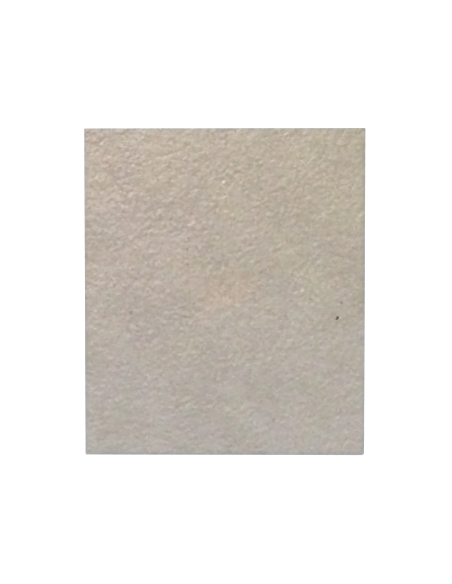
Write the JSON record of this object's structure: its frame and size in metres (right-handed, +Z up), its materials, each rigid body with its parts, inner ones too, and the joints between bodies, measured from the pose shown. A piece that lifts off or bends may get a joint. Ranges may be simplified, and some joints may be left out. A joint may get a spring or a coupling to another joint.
{
  "type": "mica sheet",
  "caption": "Thin rectangular sheet of pressed mica, with low crumpled lumps over its upper face and a flatter, lightly pitted underside that it lies on.",
  "frame": {"origin": "middle of the underside, on the surface that the sheet lies on", "axes": "+X across the sheet, +Y along its length to the far end, +Z up out of the lumpy upper face"},
  "size_m": [0.12, 0.14, 0.0005],
  "materials": {
    "mica": "satin"
  },
  "bodies": {
    "root": {"mica_sheet": "mica"}
  },
  "joints": []
}
